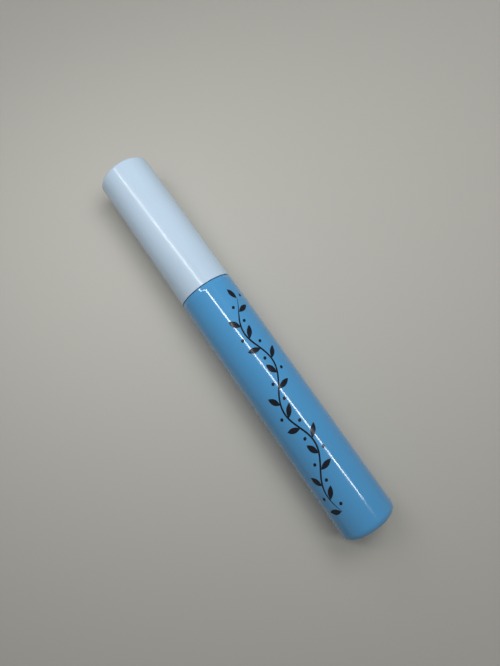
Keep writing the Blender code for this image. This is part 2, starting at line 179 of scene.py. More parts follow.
def results(tree, kind, inputs=None, **options):
    """Adds a node, sets its options, fills its inputs, and gives its results by name."""
    node = tree.nodes.new(kind)
    for option, value in options.items():
        setattr(node, option, value)
    fill(tree, node, inputs or {})
    return {socket.name: Wire(tree, socket) for socket in node.outputs if socket.enabled}


def made(tree, kind, inputs=None, **options):
    """The first result of a new node."""
    return next(iter(results(tree, kind, inputs, **options).values()))


def ramp(value, start, end, low=0.0, high=1.0):
    """A value eased from low to high as another goes from start to end."""
    inputs = {"Value": value, "From Min": start, "From Max": end, "To Min": low, "To Max": high}
    return made(value.tree, "ShaderNodeMapRange", inputs, interpolation_type="SMOOTHSTEP")


def vector(tree, x=0.0, y=0.0, z=0.0):
    """One vector from three numbers."""
    return made(tree, "ShaderNodeCombineXYZ", {0: x, 1: y, 2: z})


def split(place):
    """The three numbers of a vector."""
    return results(place.tree, "ShaderNodeSeparateXYZ", {0: place}).values()


print("wires can be added, subtracted, multiplied and divided")

# %% Trees of nodes
NUMBER = "NodeSocketFloat"
WHOLE = "NodeSocketInt"
COLOUR = "NodeSocketColor"
FINISH = "NodeSocketMaterial"
SHAPE = "NodeSocketGeometry"


def new_tree(name, kind, inputs, outputs):
    """An empty tree with named sockets, the values that it is given, and its output node."""
    tree = bpy.data.node_groups.new(name, kind)
    for side, sockets in (("INPUT", inputs), ("OUTPUT", outputs)):
        for label, socket_type in sockets.items():
            tree.interface.new_socket(label, in_out=side, socket_type=socket_type)
    return tree, results(tree, "NodeGroupInput"), tree.nodes.new("NodeGroupOutput")


def shape_tree(name, sizes, counts=()):
    """A geometry tree that takes a shape, named sizes and counts and a finish, and gives a shape."""
    amounts = {**dict.fromkeys(sizes, NUMBER), **dict.fromkeys(counts, WHOLE)}
    sockets = {"Geometry": SHAPE, **amounts, "Finish": FINISH}
    return new_tree(name, "GeometryNodeTree", sockets, {"Geometry": SHAPE})


def close_tree(tree, given, outlet, shape):
    """Ends a geometry tree in plain geometry with its finish."""
    plain = made(tree, "GeometryNodeRealizeInstances", {"Geometry": shape})
    painted = made(tree, "GeometryNodeSetMaterial", {"Geometry": plain, "Material": given["Finish"]})
    fill(tree, outlet, {"Geometry": painted})
    print("geometry tree", tree.name, "has", len(tree.nodes), "nodes")
    return tree


def keep_shape(obj):
    """Turns what an object's modifiers show into its own mesh, and removes the modifiers."""
    graph = bpy.context.evaluated_depsgraph_get()
    mesh = bpy.data.meshes.new_from_object(obj.evaluated_get(graph))
    mesh.name = obj.name
    obj.modifiers.clear()
    obj.data = mesh
    return obj


def grow(obj, tree, sizes, finish):
    """Runs a geometry tree on an object and keeps what it makes as the object's own plain mesh."""
    step = obj.modifiers.new(tree.name, "NODES")
    step.node_group = tree
    values = {**sizes, "Finish": finish}
    for item in tree.interface.items_tree:
        if item.in_out == "INPUT" and item.name in values:
            step[item.identifier] = values[item.name]
    return keep_shape(obj)


print("a geometry tree ends in plain geometry with a finish")

# %% [markdown]
# ## Floor and light
# A plain pale floor keeps the tube's shadow. Far from the tube it fades into a pale backdrop, as a curved
# sheet of paper does in a studio, so a low view has no dark horizon, and the gloss reflects that backdrop
# too. One large soft lamp could light all of it, but it would leave the gloss plain. So a long narrow lamp
# draws the thin bright line that runs along the whole tube, a little askew to its axis, and two soft panels
# do the rest: one hangs over the cap, so the light fades towards the base, and one high at the right, so
# the left side falls into shade. They would lay broad bands on the gloss, so reflections don't see them.
# Each lamp's strength is given as the brightness of its face, and its power follows from its area.

# %% Lay the floor
FLOOR_SIZE = 3.0
FLOOR_COLOUR = (0.48, 0.47, 0.43)
FLOOR_ROUGHNESS = 0.65
BACKDROP_COLOUR = (0.40, 0.395, 0.37, 1.0)
FADE_FROM = 0.10
FADE_TO = 0.24


def new_finish(name):
    """A material, its tree and its Principled shader."""
    material = bpy.data.materials.new(name)
    material.use_nodes = True
    return material, material.node_tree, material.node_tree.nodes["Principled BSDF"]


def mesh_from(name, draft):
    """A mesh from a draft that isn't needed afterwards."""
    mesh = bpy.data.meshes.new(name)
    draft.to_mesh(mesh)
    draft.free()
    return mesh


def looked_at(tree):
    """One for a ray from the camera, in a reflection or through a clear piece, and zero for light."""
    rays = results(tree, "ShaderNodeLightPath")
    mirrored = rays["Is Glossy Ray"].maths("MAXIMUM", rays["Is Transmission Ray"])
    return rays["Is Camera Ray"].maths("MAXIMUM", mirrored)


def plain_floor():
    """A large flat square under the tube, in one pale colour that is seen to fade into the backdrop."""
    square = bmesh.new()
    bmesh.ops.create_grid(square, x_segments=1, y_segments=1, size=FLOOR_SIZE / 2)
    material, tree, shader = new_finish("floor")
    fill(tree, shader, {"Base Color": (*FLOOR_COLOUR, 1.0), "Roughness": FLOOR_ROUGHNESS})
    place = results(tree, "ShaderNodeNewGeometry")["Position"]
    away = made(tree, "ShaderNodeVectorMath", {0: place}, operation="LENGTH")
    fade = ramp(away, FADE_FROM, FADE_TO) * looked_at(tree)
    backdrop = made(tree, "ShaderNodeEmission", {"Color": BACKDROP_COLOUR})
    mixed = made(tree, "ShaderNodeMixShader", {0: fade, 1: Wire(tree, shader.outputs[0]), 2: backdrop})
    fill(tree, tree.nodes["Material Output"], {"Surface": mixed})
    floor = new_object("floor", mesh_from("floor", square))
    floor.data.materials.append(material)
    return floor


plain_floor()
print("floor", FLOOR_SIZE, "m square")

# %% Hang the lamps
LAMP_HEIGHT = 0.50
STRIP_FROM = Vector((0.400, 0.253, LAMP_HEIGHT))
STRIP_TO = Vector((-0.190, -0.262, LAMP_HEIGHT))
STRIP_WIDTH = 0.030
STRIP_BRIGHTNESS = 14.0
CAP_PANEL_PLACE = Vector((0.06, 0.02, 0.10))
CAP_PANEL_SIDE = 0.10
CAP_PANEL_BRIGHTNESS = 1.4
SIDE_PANEL_PLACE = Vector((0.03, -0.10, 0.19))
SIDE_PANEL_SIDE = 0.10
SIDE_PANEL_BRIGHTNESS = 5.2


def lamp(name, start, end, width, brightness):
    """A flat lamp from one point to another, faced at the tube, as bright as it says."""
    run = end - start
    light = bpy.data.lights.new(name, "AREA")
    light.shape = "RECTANGLE"
    light.size = run.length
    light.size_y = width
    light.energy = brightness * math.pi * run.length * width
    middle = (start + end) / 2
    along = run.normalized()
    across = middle.cross(along).normalized()
    facing = Matrix((along, across, along.cross(across))).transposed().to_4x4()
    obj = new_object(name, light)
    obj.matrix_world = Matrix.Translation(middle) @ facing
    print(f"{name}: {run.length:.2f} by {width:.2f} m, {light.energy:.2f} W")
    return obj


def soft_panel(name, middle, side, brightness):
    """A square lamp that only lights: neither the camera nor a reflection sees it."""
    half = right * side / 2
    panel = lamp(name, middle - half, middle + half, side, brightness)
    panel.visible_camera = False
    panel.visible_glossy = False


lamp("strip_lamp", STRIP_FROM, STRIP_TO, STRIP_WIDTH, STRIP_BRIGHTNESS)
soft_panel("cap_panel", CAP_PANEL_PLACE, CAP_PANEL_SIDE, CAP_PANEL_BRIGHTNESS)
soft_panel("side_panel", SIDE_PANEL_PLACE, SIDE_PANEL_SIDE, SIDE_PANEL_BRIGHTNESS)

# %% Light the room
ROOM_COLOUR = (0.96, 0.98, 1.0, 1.0)
ROOM_DARK = 0.04
ROOM_BRIGHT = 0.28
BRIGHT_SIDE = (right * 0.60 + upward * 0.20 + above * 0.85).normalized()
BRIGHT_EDGE = 0.85


def room_light():
    """Soft light, brightest from the upper right of the picture, before a pale backdrop."""
    room = bpy.data.worlds.new("room")
    room.use_nodes = True
    tree = room.node_tree
    way = results(tree, "ShaderNodeTexCoord")["Generated"]
    facing = made(tree, "ShaderNodeVectorMath", {0: way, 1: BRIGHT_SIDE}, operation="DOT_PRODUCT")
    strength = ramp(facing, BRIGHT_EDGE, 1.0, ROOM_DARK, ROOM_BRIGHT)
    lit = tree.nodes["Background"]
    fill(tree, lit, {"Color": ROOM_COLOUR, "Strength": strength})
    backdrop = made(tree, "ShaderNodeBackground", {"Color": BACKDROP_COLOUR})
    seen = {0: looked_at(tree), 1: Wire(tree, lit.outputs[0]), 2: backdrop}
    fill(tree, tree.nodes["World Output"], {"Surface": made(tree, "ShaderNodeMixShader", seen)})
    return room


scene.world = room_light()
print("room from", ROOM_DARK, "to", ROOM_BRIGHT)

# %% [markdown]
# ## Effects that several finishes share
# Moulded plastic is never perfectly even. Its gloss ripples slightly, its colour drifts a little, and
# handling leaves hairlines, smudges and dust. Each of these could be painted into every material by hand.
# They are made once as shader groups instead, and each material places them with its own amounts.

# %% Group: the skin of moulded plastic
RIPPLE_SIZE = 0.007
GRAIN_SIZE = 0.00035
DRIFT_SIZE = 0.018


def object_place(tree):
    """The point on the piece, in metres."""
    return results(tree, "ShaderNodeTexCoord")["Object"]


def cloud(place, size, detail=2.0, twist=0.0):
    """Soft noise with blotches of about one size in metres."""
    inputs = {"Vector": place, "Scale": 1 / size, "Detail": detail, "Distortion": twist}
    return made(place.tree, "ShaderNodeTexNoise", inputs)


def moulded_skin():
    """Height of a slow ripple with a fine grain on it."""
    tree, given, outlet = new_tree("moulded_skin", "ShaderNodeTree", {"Grain": NUMBER}, {"Height": NUMBER})
    place = object_place(tree)
    ripple = cloud(place, RIPPLE_SIZE, detail=0.0)
    fill(tree, outlet, {"Height": cloud(place, GRAIN_SIZE) * given["Grain"] + ripple})
    return tree


def pigment_drift():
    """A colour that is a little lighter here and darker there."""
    sockets = {"Colour": COLOUR, "Drift": NUMBER}
    tree, given, outlet = new_tree("pigment_drift", "ShaderNodeTree", sockets, {"Colour": COLOUR})
    swing = cloud(object_place(tree), DRIFT_SIZE) - 0.5
    toned = {"Value": swing * given["Drift"] + 1.0, "Color": given["Colour"]}
    fill(tree, outlet, {"Colour": made(tree, "ShaderNodeHueSaturation", toned)})
    return tree


SKIN = moulded_skin()
PIGMENT = pigment_drift()
print("shader groups", SKIN.name, PIGMENT.name)

# %% Group: marks of handling
HAIRLINE_LENGTH = 0.030
HAIRLINE_WIDTH = 0.00025
HAIRLINE_DETAIL = 1.0
HAIRLINE_BAND = (0.68, 0.76)
SMUDGE_SIZE = 0.009
SMUDGE_DETAIL = 5.0
SMUDGE_TWIST = 1.2
SMUDGE_BAND = (0.45, 0.75)
DUST_SPACING = 0.0021
DUST_RADIUS = 0.045
DUST_SHARE = 0.30


def drawn_lines(place, length, width, detail=2.0):
    """Noise that is drawn out along the tube into fine lines."""
    stretch = (width / length, 1.0, 1.0)
    drawn = made(place.tree, "ShaderNodeVectorMath", {0: place, 1: stretch}, operation="MULTIPLY")
    return cloud(drawn, width, detail)


def handling_marks():
    """Masks for hairlines along the tube, smudges from fingers, and specks of dust."""
    sockets = dict.fromkeys(("Hairlines", "Smudges", "Dust"), NUMBER)
    tree, given, outlet = new_tree("handling_marks", "ShaderNodeTree", {"Amount": NUMBER}, sockets)
    place = object_place(tree)
    lines = drawn_lines(place, HAIRLINE_LENGTH, HAIRLINE_WIDTH, HAIRLINE_DETAIL)
    smears = cloud(place, SMUDGE_SIZE, SMUDGE_DETAIL, SMUDGE_TWIST)
    cells = results(tree, "ShaderNodeTexVoronoi", {"Vector": place, "Scale": 1 / DUST_SPACING})
    specks = ramp(cells["Distance"], DUST_RADIUS, DUST_RADIUS / 2)
    chosen = made(tree, "ShaderNodeSeparateColor", {0: cells["Color"]}).maths("LESS_THAN", DUST_SHARE)
    masks = (ramp(lines, *HAIRLINE_BAND), ramp(smears, *SMUDGE_BAND), specks * chosen)
    fill(tree, outlet, {label: mask * given["Amount"] for label, mask in zip(sockets, masks)})
    return tree


MARKS = handling_marks()
print("shader group", MARKS.name)

# %% [markdown]
# ## The finishes
# The five plastic pieces differ in colour, gloss and how much they have been handled, so one function makes
# them all. Nylon and ink are both mottled blacks and share one too, while foam and steel have functions of
# their own. A picture could be wrapped round each piece instead, but a pattern that is worked out from the
# point on the piece has no seam and stays sharp from close by.

# %% Moulded plastics
GRAIN_SHARE = 0.012
PLASTIC_DRIFT = 0.10
PLASTIC_IOR = 1.49
RIPPLE_DEPTH = 0.000012
DUST_COLOUR = (0.62, 0.60, 0.56, 1.0)
DUST_SHOWS = 0.55
HAIRLINE_DULLS = 0.22
SMUDGE_DULLS = 0.10
SMUDGE_HIDES = 0.25
COAT_ROUGHNESS = 0.05


def placed(tree, group, values):
    """The results of a shader group that is placed in a material with its own values."""
    return results(tree, "ShaderNodeGroup", values, node_tree=group)


def pigment(tree, colour, drift):
    """A colour that drifts by a share of itself."""
    return placed(tree, PIGMENT, {"Colour": (*colour, 1.0), "Drift": drift})["Colour"]


def relief(height, depth):
    """A surface that is uneven by a depth in metres."""
    return made(height.tree, "ShaderNodeBump", {"Height": height, "Distance": depth})


def moulded_plastic(name, colour, roughness, marks, coat=0.0):
    """A moulded plastic: drifting colour, rippled gloss, hairlines, smudges, dust and maybe a clear coat."""
    material, tree, shader = new_finish(name)
    skin = placed(tree, SKIN, {"Grain": GRAIN_SHARE})
    wear = placed(tree, MARKS, {"Amount": marks})
    colours = {"A": pigment(tree, colour, PLASTIC_DRIFT), "B": DUST_COLOUR}
    dusty = {"Factor": wear["Dust"] * DUST_SHOWS, **colours}
    dull = wear["Hairlines"] * HAIRLINE_DULLS + wear["Smudges"] * SMUDGE_DULLS + wear["Dust"] * DUST_SHOWS
    fill(tree, shader, {
        "Base Color": made(tree, "ShaderNodeMix", dusty, data_type="RGBA"),
        "Roughness": dull + roughness,
        "Normal": relief(skin["Height"], RIPPLE_DEPTH),
        "IOR": PLASTIC_IOR,
    })
    if coat:
        clear = wear["Smudges"] * (-SMUDGE_HIDES * coat) + coat
        fill(tree, shader, {"Coat Weight": clear, "Coat Roughness": COAT_ROUGHNESS})
    print("finish", name, "in", colour)
    return material


BLUE_GLOSS = moulded_plastic("blue_gloss", COLOURS["bottle_plastic"], roughness=0.10, marks=0.6, coat=0.7)
ICE_GLOSS = moulded_plastic("ice_gloss", COLOURS["cap_plastic"], roughness=0.20, marks=0.35, coat=0.15)
NATURAL = moulded_plastic("natural_plastic", COLOURS["liner_plastic"], roughness=0.38, marks=0.4)
SOFT_WIPER = moulded_plastic("soft_wiper_plastic", COLOURS["wiper_plastic"], roughness=0.34, marks=0.3)
ROD_WHITE = moulded_plastic("white_rod_plastic", COLOURS["rod_plastic"], roughness=0.22, marks=0.5)

# %% Foam, steel, nylon and ink
FOAM_CELL = 0.00035
FOAM_DEPTH = 0.00006
FOAM_DRIFT = 0.12
FOAM_ROUGHNESS = 0.9
DRAWN_LENGTH = 0.004
DRAWN_WIDTH = 0.00006
STEEL_DEPTH = 0.000004
STEEL_DRIFT = 0.2
STEEL_BAND = (0.3, 0.7)
STEEL_SHEEN = (0.22, 0.42)
INK_COLOUR = (0.006, 0.008, 0.016)
BLACK_SPECULAR = 0.25


def gasket_foam():
    """Closed-cell foam: small round cells, matt and slightly uneven."""
    material, tree, shader = new_finish("white_foam")
    spacing = {"Vector": object_place(tree), "Scale": 1 / FOAM_CELL}
    cells = results(tree, "ShaderNodeTexVoronoi", spacing)["Distance"]
    fill(tree, shader, {
        "Base Color": pigment(tree, COLOURS["gasket_foam"], FOAM_DRIFT),
        "Roughness": FOAM_ROUGHNESS,
        "Normal": relief(cells, FOAM_DEPTH),
    })
    return material


def drawn_steel():
    """Steel wire with fine lines from the die that it was drawn through."""
    material, tree, shader = new_finish("drawn_steel")
    lines = drawn_lines(object_place(tree), DRAWN_LENGTH, DRAWN_WIDTH)
    fill(tree, shader, {
        "Base Color": pigment(tree, COLOURS["wire_steel"], STEEL_DRIFT),
        "Roughness": ramp(lines, *STEEL_BAND, *STEEL_SHEEN),
        "Normal": relief(lines, STEEL_DEPTH),
        "Metallic": 1.0,
    })
    return material


def mottled_black(name, colour, drift, detail, band, sheen):
    """Near black, with a sheen that changes from spot to spot."""
    material, tree, shader = new_finish(name)
    mottle = cloud(object_place(tree), GRAIN_SIZE, detail)
    fill(tree, shader, {
        "Base Color": pigment(tree, colour, drift),
        "Roughness": ramp(mottle, *band, *sheen),
        "Specular IOR Level": BLACK_SPECULAR,
    })
    return material


FOAM = gasket_foam()
STEEL = drawn_steel()
NYLON = mottled_black(
    "black_nylon", COLOURS["bristle_nylon"], drift=0.8, detail=2.0, band=(0.3, 0.7), sheen=(0.26, 0.48))
INK = mottled_black("print_ink", INK_COLOUR, drift=0.6, detail=3.0, band=(0.35, 0.7), sheen=(0.12, 0.30))
print("finishes", FOAM.name, STEEL.name, NYLON.name, INK.name)

# %% [markdown]
# ## Turned pieces
# A bottle, a cap or a rod is a profile turned round the axis. It could be a cylinder that is cut and
# bevelled by hand, but then every edge would be a job of its own. Here the profile is a short list of
# corners, each with its own rounding, because a moulded edge is never sharp and its rounding is what
# catches the light. One function rounds the corners, and right beside each rounding it adds one more
# point, which keeps a long straight wall shaded as a straight wall. Another function spins the result.

# %% Profile helpers
ARC_STEPS = 8
BESIDE = 0.00002
MERGE = 0.0000005


def rounded(corners, ring=False):
    """A profile of (radius, station) points, from corners that give a radius, a station and a rounding."""
    points = []
    for index, (radius, station, rounding) in enumerate(corners):
        corner = Vector((radius, station))
        if rounding == 0 or (not ring and index in (0, len(corners) - 1)):
            points.append(corner)
            continue
        back = (Vector(corners[index - 1][:2]) - corner).normalized()
        on = (Vector(corners[(index + 1) % len(corners)][:2]) - corner).normalized()
        half = back.angle(on) / 2
        centre = corner + (back + on).normalized() * rounding / math.sin(half)
        run = rounding / math.tan(half)
        start = corner + back * run - centre
        end = corner + on * run - centre
        swing = math.atan2(start.x * end.y - start.y * end.x, start.dot(end))
        points.append(centre + start + back * BESIDE)
        for step in range(ARC_STEPS + 1):
            angle = swing * step / ARC_STEPS
            points.append(centre + Matrix.Rotation(angle, 2) @ start)
        points.append(centre + end + on * BESIDE)
    return points


def with_rows(points, radius, step):
    """Cuts the straight walls at one radius into short rows, so that a thread can be raised on them."""
    fine = [points[0]]
    for start, end in zip(points, points[1:]):
        on_wall = max(abs(start.x - radius), abs(end.x - radius)) < MERGE
        rows = max(1, round((end - start).length / step)) if on_wall else 1
        fine += [start.lerp(end, row / rows) for row in range(1, rows + 1)]
    return fine


print("a rounded corner has", ARC_STEPS + 3, "points")

# %% Lathe helpers
SHARP_ANGLE = math.radians(35)
BODY_SIDES = 192
SLIM_SIDES = 96


def turned(name, points, sides, ring=False):
    """Spins a profile round the upright axis into one closed mesh."""
    lathe = bmesh.new()
    chain = [lathe.verts.new((radius, 0.0, station)) for radius, station in points]
    pairs = list(zip(chain, chain[1:]))
    if ring:
        pairs.append((chain[-1], chain[0]))
    edges = [lathe.edges.new(pair) for pair in pairs]
    spun = {"cent": (0, 0, 0), "axis": (0, 0, 1), "angle": FULL_TURN, "steps": sides, "use_merge": True}
    bmesh.ops.spin(lathe, geom=chain + edges, **spun)
    bmesh.ops.remove_doubles(lathe, verts=lathe.verts, dist=MERGE)
    bmesh.ops.recalc_face_normals(lathe, faces=lathe.faces)
    return new_object(name, mesh_from(name, lathe))


def finish_piece(piece, finish, body, node=None):
    """Lays a piece down along the tube, gives it its finish, and lets it ride in place of its solid."""
    mesh = piece.data
    mesh.transform(LAY_DOWN)
    mesh.shade_smooth()
    mesh.set_sharp_from_angle(angle=SHARP_ANGLE)
    mesh.materials.clear()
    mesh.materials.append(finish)
    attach(piece, body)
    if node:
        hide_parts(node)
    triangles = sum(len(face.vertices) - 2 for face in mesh.polygons)
    print(f"{piece.name}: {triangles} triangles, rides on {body}")


print("a turned piece has", BODY_SIDES, "or", SLIM_SIDES, "sides")

# %% [markdown]
# ## The screw thread
# A thread follows a helix round a wall. It could be a separate ridge, swept along a spiral and stuck on,
# but then the two surfaces would cross. Here a geometry tree raises the wall itself: for each point of the
# wall it works out how far the point lies from the helix, and lifts it by a trapezoid with soft flanks that
# fades in and out.

# %% Geometry tree: screw thread
WALL_TOLERANCE = 0.00001
THREAD_SIZES = {"Pitch": 0.0024, "Turns": 1.5, "Lead In": 0.22}
THREAD_ROW = 0.00008


def screw_thread():
    """Raises a helical ridge on a round wall. A negative height sends it inwards."""
    sizes = ("Wall Radius", "Height", "Pitch", "Turns", "Start", "Crest", "Root", "Lead In")
    tree, given, outlet = shape_tree("screw_thread", sizes)
    x, y, z = split(made(tree, "GeometryNodeInputPosition"))
    radius = (x * x + y * y).maths("SQRT")
    turn = y.maths("ARCTAN2", x) / FULL_TURN
    rise = (z - given["Start"]) / given["Pitch"]
    along = turn + (rise - turn).maths("ROUND")
    aside = (rise - along).maths("ABSOLUTE") * given["Pitch"] * 2.0
    flank = ramp(aside, given["Root"], given["Crest"])
    fade_in = ramp(along, 0.0, given["Lead In"])
    fade_out = ramp(given["Turns"] - along, 0.0, given["Lead In"])
    lift = fade_in * fade_out * flank * given["Height"] / radius
    raised = made(tree, "GeometryNodeSetPosition", {
        "Geometry": given["Geometry"],
        "Selection": radius.maths("COMPARE", given["Wall Radius"], WALL_TOLERANCE),
        "Offset": vector(tree, x * lift, y * lift),
    })
    return close_tree(tree, given, outlet, raised)


THREAD = screw_thread()

# %% [markdown]
# ## The bottle
# The bottle is moulded in one piece: a straight wall, a rounded base with a shallow recess and the mark of
# the mould's gate, a shallow sloped band at the shoulder, and a threaded neck that the cap hides. A plain
# cylinder would do while the cap is on, but the open neck shows that the bottle is hollow. So its profile
# goes up the inside and down the outside, and the thread is raised on the neck afterwards.

# %% Turn the bottle
INK_THICKNESS = 0.00002
JOINT_GAP = 0.0002
SHOULDER = stations("outer_cap")[0] - JOINT_GAP
NECK_TOP = stations("bottle")[1]
BODY_RADIUS = radius_of("bottle") - INK_THICKNESS
BODY_WALL = 0.0016
BASE_WALL = 0.0022
BASE_ROUNDING = 0.0020
RECESS_RADIUS = 0.0034
RECESS_DEPTH = 0.0004
GATE_RADIUS = 0.0005
GATE_HEIGHT = 0.00015
BAND_HEIGHT = 0.0012
BAND_STEP = 0.0002
BAND_ROUNDING = 0.0030
SHOULDER_ROUNDING = 0.0001
NECK_RADIUS = 0.0050
NECK_BORE = 0.00385
NECK_ROOT_ROUNDING = 0.0004
NECK_RIM_ROUNDING = 0.00025
CAVITY_ROUNDING = 0.0012
SHOULDER_WALL = 0.0018
NECK_THREAD_START = 0.0036
cavity = BODY_RADIUS - BODY_WALL
cavity_top = SHOULDER - SHOULDER_WALL

bottle_corners = [
    (0.0, BASE_WALL, 0),
    (cavity, BASE_WALL, CAVITY_ROUNDING),
    (cavity, cavity_top - (cavity - NECK_BORE), CAVITY_ROUNDING),
    (NECK_BORE, cavity_top, CAVITY_ROUNDING),
    (NECK_BORE, NECK_TOP, NECK_RIM_ROUNDING),
    (NECK_RADIUS, NECK_TOP, NECK_RIM_ROUNDING),
    (NECK_RADIUS, SHOULDER, NECK_ROOT_ROUNDING),
    (BODY_RADIUS - BAND_STEP, SHOULDER, SHOULDER_ROUNDING),
    (BODY_RADIUS, SHOULDER - BAND_HEIGHT, BAND_ROUNDING),
    (BODY_RADIUS, 0.0, BASE_ROUNDING),
    (RECESS_RADIUS, 0.0, RECESS_DEPTH / 3),
    (RECESS_RADIUS, RECESS_DEPTH, RECESS_DEPTH / 3),
    (GATE_RADIUS, RECESS_DEPTH, GATE_HEIGHT / 3),
    (GATE_RADIUS, RECESS_DEPTH - GATE_HEIGHT, GATE_HEIGHT / 3),
    (0.0, RECESS_DEPTH - GATE_HEIGHT, 0),
]
neck_thread = {
    **THREAD_SIZES,
    "Wall Radius": NECK_RADIUS,
    "Height": 0.00055,
    "Start": SHOULDER + NECK_THREAD_START,
    "Crest": 0.0004,
    "Root": 0.0011,
}
bottle = turned("blue_bottle", with_rows(rounded(bottle_corners), NECK_RADIUS, THREAD_ROW), BODY_SIDES)
grow(bottle, THREAD, neck_thread, BLUE_GLOSS)
finish_piece(bottle, BLUE_GLOSS, "bottle", "bottle")

# %% [markdown]
# ## The print on the bottle
# The bottle carries a black ornament: a climbing sprig with paired leaves and small buds. It could be
# painted into the blue material with masks. It is made as a very thin raised layer instead, as screen
# printing leaves, so it keeps crisp edges at any size. A geometry tree grows the sprig flat, then wraps it
# round the bottle.

# %% Geometry tree: climbing sprig
STEM_POINTS = 220
STEM_FADE = 0.12
STEM_FINEST = 0.25
LEAF_ROWS = 11
LEAF_COLUMNS = 5
LEAF_START = 0.55
BUD_SIDES = 14


def climbing_sprig():
    """A wavy stem with leaves and buds, grown flat and then wrapped round a cylinder."""
    sizes = ("Length", "Wave", "Sway", "Line", "Leaf Length", "Leaf Width", "Lean", "Bud", "Bud Reach",
             "Radius", "Start", "Facing", "Climb")
    tree, given, outlet = shape_tree("climbing_sprig", sizes, counts=["Leaves"])
    x, y, _ = split(made(tree, "GeometryNodeInputPosition"))

    line = made(tree, "GeometryNodeCurvePrimitiveLine", {"End": vector(tree, given["Length"])})
    fine = made(tree, "GeometryNodeResampleCurve", {"Curve": line, "Count": STEM_POINTS})
    sway = (x / given["Wave"] * FULL_TURN).maths("SINE") * given["Sway"]
    stem = made(tree, "GeometryNodeSetPosition", {"Geometry": fine, "Offset": vector(tree, 0.0, sway)})
    half = given["Line"] * 0.5
    across = {"Start": vector(tree, half * -1.0), "End": vector(tree, half)}
    flat = made(tree, "GeometryNodeCurvePrimitiveLine", across)
    share = results(tree, "GeometryNodeSplineParameter")["Factor"]
    swell = ramp(share * (1.0 - share), 0.0, STEM_FADE, STEM_FINEST)
    ribbon = made(tree, "GeometryNodeCurveToMesh", {"Curve": stem, "Profile Curve": flat, "Scale": swell})

    points = results(tree, "GeometryNodeCurveToPoints", {"Curve": stem, "Count": given["Leaves"]})
    ahead_x, ahead_y, _ = split(points["Tangent"])
    heading = ahead_y.maths("ARCTAN2", ahead_x)
    hand = made(tree, "GeometryNodeInputIndex").maths("MODULO", 2.0) * -2.0 + 1.0

    def along_stem(part, lean):
        """One part at each point of the stem, leaning to one side and the other by turns."""
        turn = vector(tree, z=hand * lean + heading)
        laid = {"Points": points["Points"], "Instance": part, "Rotation": turn}
        return made(tree, "GeometryNodeInstanceOnPoints", laid)

    blade = {"Size X": 1.0, "Size Y": 1.0, "Vertices X": LEAF_ROWS, "Vertices Y": LEAF_COLUMNS}
    grid = made(tree, "GeometryNodeMeshGrid", blade)
    taper = y * (0.25 - x * x) * 4.0
    place = vector(tree, (x + LEAF_START) * given["Leaf Length"], taper * given["Leaf Width"])
    leaf = made(tree, "GeometryNodeSetPosition", {"Geometry": grid, "Position": place})

    disc = {"Vertices": BUD_SIDES, "Radius": given["Bud"]}
    bud = made(tree, "GeometryNodeMeshCircle", disc, fill_type="TRIANGLE_FAN")
    reach = vector(tree, given["Bud Reach"])
    bud = made(tree, "GeometryNodeTransform", {"Geometry": bud, "Translation": reach})

    sprig = tree.nodes.new("GeometryNodeJoinGeometry")
    for part in (ribbon, along_stem(leaf, given["Lean"]), along_stem(bud, given["Lean"] * -1.0)):
        fill(tree, sprig, {"Geometry": part})
    grown = made(tree, "GeometryNodeRealizeInstances", {"Geometry": Wire(tree, sprig.outputs[0])})
    angle = x / given["Length"] * given["Climb"] - y / given["Radius"] + given["Facing"]
    cosine, sine = angle.maths("COSINE"), angle.maths("SINE")
    wrap = vector(tree, cosine * given["Radius"], sine * given["Radius"], x + given["Start"])
    wrapped = made(tree, "GeometryNodeSetPosition", {"Geometry": grown, "Position": wrap})
    merged = made(tree, "GeometryNodeMergeByDistance", {"Geometry": wrapped, "Distance": MERGE})
    return close_tree(tree, given, outlet, merged)


SPRIG = climbing_sprig()

# %% Print the sprig
SPRIG_SIZES = {
    "Length": 0.060,
    "Wave": 0.023,
    "Sway": 0.0019,
    "Line": 0.00046,
    "Leaf Length": 0.0037,
    "Leaf Width": 0.0015,
    "Lean": math.radians(48),
    "Bud": 0.00045,
    "Bud Reach": 0.0020,
    "Leaves": 17,
    "Radius": BODY_RADIUS,
    "Start": 0.0085,
    "Facing": math.radians(146),
    "Climb": math.radians(66),
}

sprig = grow(new_object("sprig_print"), SPRIG, SPRIG_SIZES, INK)
layer = sprig.modifiers.new("ink", "SOLIDIFY")
layer.thickness = INK_THICKNESS
layer.offset = 1.0
keep_shape(sprig)
finish_piece(sprig, INK, "bottle")

# %% [markdown]
# ## The wiper
# A soft insert is pressed into the neck. Its flange sits on the rim, and its cone ends in a thin lip that
# strips the rod and the brush as they come out. A plain washer would look the same from the side, but the
# cone shows in the open neck. So the wiper is turned as a ring, from a closed profile that never reaches
# the axis.

# %% Turn the wiper
WIPER_FLANGE_HEIGHT = 0.0008
WIPER_FLANGE_RADIUS = 0.0047
WIPER_RADIUS = 0.0037
WIPER_BORE = 0.0031
ORIFICE = 0.0017
WIPER_LIP_WALL = 0.0004
WIPER_LIP_HEIGHT = 0.0006
WIPER_CONE_HEIGHT = 0.0035
WIPER_MOUTH_ROUNDING = 0.0004
WIPER_ROUNDING = 0.0002
CONE_ROUNDING = 0.0006
LIP_ROUNDING = 0.0003
LIP_EDGE = 0.0001
wiper_bottom, wiper_top = stations("wiper")
cone_bottom = wiper_bottom + WIPER_LIP_HEIGHT
cone_top = cone_bottom + WIPER_CONE_HEIGHT
flange_bottom = wiper_top - WIPER_FLANGE_HEIGHT

